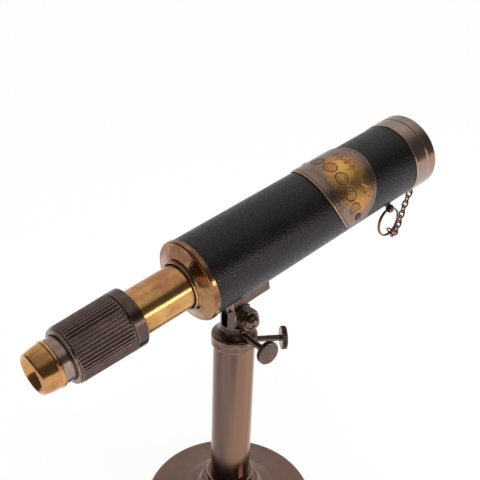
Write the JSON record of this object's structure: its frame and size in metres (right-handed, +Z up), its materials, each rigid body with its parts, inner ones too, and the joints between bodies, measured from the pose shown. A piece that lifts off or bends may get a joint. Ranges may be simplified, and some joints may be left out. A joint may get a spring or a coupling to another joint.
{
  "type": "tabletop kaleidoscope",
  "caption": "Leather-wrapped brass lens kaleidoscope in a telescope-style tube, with draw tube, focusing grip and chained dust cap, on a tilting pedestal stand.",
  "frame": {"origin": "centre of the foot underside, on the column axis", "axes": "+Z up along the column; the tube lies in the XZ plane with its lens end towards +X"},
  "size_m": [0.3137, 0.12, 0.2652],
  "materials": {
    "polished_brass": "polished with a warm lacquer, copper toned where the lacquer is thick",
    "aged_brass": "satin, darkened in patches by age",
    "dark_bronze": "dark antiqued satin with worn bright edges",
    "copper_bronze": "semi-polished reddish bronze",
    "grip_bronze": "dark antiqued satin, lighter on the flute crests",
    "black_leather": "fine grain, half gloss",
    "lens_glass": "clear polished",
    "mirror_glass": "mirror",
    "green_felt": "pressed felt"
  },
  "bodies": {
    "stand": {"base_felt": "green_felt", "base_body": "copper_bronze", "column_foot": "dark_bronze", "base_bolt": "dark_bronze", "base_washer": "dark_bronze", "column_tube": "copper_bronze"},
    "lift_screw": {"lift_thumbscrew": "dark_bronze"},
    "neck": {"neck_collar": "dark_bronze", "lift_post": "copper_bronze"},
    "pan_screw": {"pan_thumbscrew": "dark_bronze"},
    "fork": {"fork": "dark_bronze", "fork_retainer_screw": "dark_bronze", "pivot_washer_near": "dark_bronze", "pivot_washer_far": "dark_bronze", "pivot_bolt": "dark_bronze", "pivot_cap_nut": "copper_bronze"},
    "barrel": {"mount_saddle": "dark_bronze", "saddle_screw_1": "dark_bronze", "saddle_screw_2": "dark_bronze", "barrel_tube": "polished_brass", "leather_wrap": "black_leather", "draw_flange": "polished_brass", "lens_cell": "dark_bronze", "objective_lens": "lens_glass", "lens_retaining_ring": "dark_bronze", "mirror_1": "mirror_glass", "mirror_2": "mirror_glass", "mirror_3": "mirror_glass", "mirror_disc_eye_end": "dark_bronze", "mirror_disc_lens_end": "dark_bronze", "nameplate": "aged_brass", "nameplate_screw_1": "dark_bronze", "nameplate_screw_2": "dark_bronze", "keeper_stud": "dark_bronze"},
    "draw": {"draw_tube": "polished_brass", "draw_stop_ring": "dark_bronze"},
    "grip": {"grip_sleeve": "grip_bronze", "grip_end_ring": "grip_bronze"},
    "eyepiece": {"eyepiece_tube": "dark_bronze", "eyecup": "polished_brass", "eyepiece_lens": "lens_glass", "eyepiece_lens_ring": "dark_bronze", "focus_key": "dark_bronze"},
    "cap": {"dust_cap": "dark_bronze", "cap_lug": "dark_bronze", "chain_link_1": "copper_bronze", "chain_link_2": "copper_bronze", "chain_link_3": "copper_bronze", "chain_link_4": "copper_bronze", "chain_link_5": "copper_bronze", "chain_link_6": "copper_bronze", "chain_link_7": "copper_bronze", "chain_link_8": "copper_bronze", "chain_link_9": "copper_bronze", "chain_link_10": "copper_bronze", "chain_link_11": "copper_bronze"},
    "keeper": {"keeper_ring": "copper_bronze"}
  },
  "joints": [
    {"name": "height_slide", "type": "slide", "parent": "stand", "child": "neck", "axis": [0, 0, 1], "range_m": [0, 0.04]},
    {"name": "lift_screw_turn", "type": "hinge", "parent": "stand", "child": "lift_screw", "pos_m": [0, 0, 0.1437], "axis": [0.829, -0.5592, 0], "range_deg": [0, 360]},
    {"name": "pan", "type": "hinge", "parent": "neck", "child": "fork", "pos_m": [0, 0, 0.1558], "axis": [0, 0, 1], "range_deg": [-180, 180]},
    {"name": "pan_screw_turn", "type": "hinge", "parent": "neck", "child": "pan_screw", "pos_m": [0, 0, 0.1527], "axis": [-0.0523, -0.9986, 0], "range_deg": [0, 360]},
    {"name": "tilt", "type": "hinge", "parent": "fork", "child": "barrel", "pos_m": [0, 0, 0.1663], "axis": [0, -1, 0], "range_deg": [-38, 35]},
    {"name": "draw_slide", "type": "slide", "parent": "barrel", "child": "draw", "axis": [0.984, 0, 0.1781], "range_m": [-0.0235, 0.028]},
    {"name": "focus_turn", "type": "hinge", "parent": "draw", "child": "grip", "pos_m": [0, 0, 0.21], "axis": [0.984, 0, 0.1781], "range_deg": [-150, 150]},
    {"name": "focus_travel", "type": "slide", "parent": "draw", "child": "eyepiece", "axis": [0.984, 0, 0.1781], "range_m": [-0.0025, 0.0025]},
    {"name": "cap_slide", "type": "slide", "parent": "barrel", "child": "cap", "axis": [0.984, 0, 0.1781], "range_m": [0, 0.006]},
    {"name": "keeper_swing", "type": "hinge", "parent": "barrel", "child": "keeper", "pos_m": [0.12554, -0.0189, 0.20984], "axis": [0, -1, 0], "range_deg": [-20, 20]}
  ],
  "couplings": [
    {"joint": "focus_travel", "follows": "focus_turn", "m_per_rad": 0.00095483},
    {"joint": "keeper_swing", "follows": "cap_slide", "rad_per_m": 49}
  ]
}
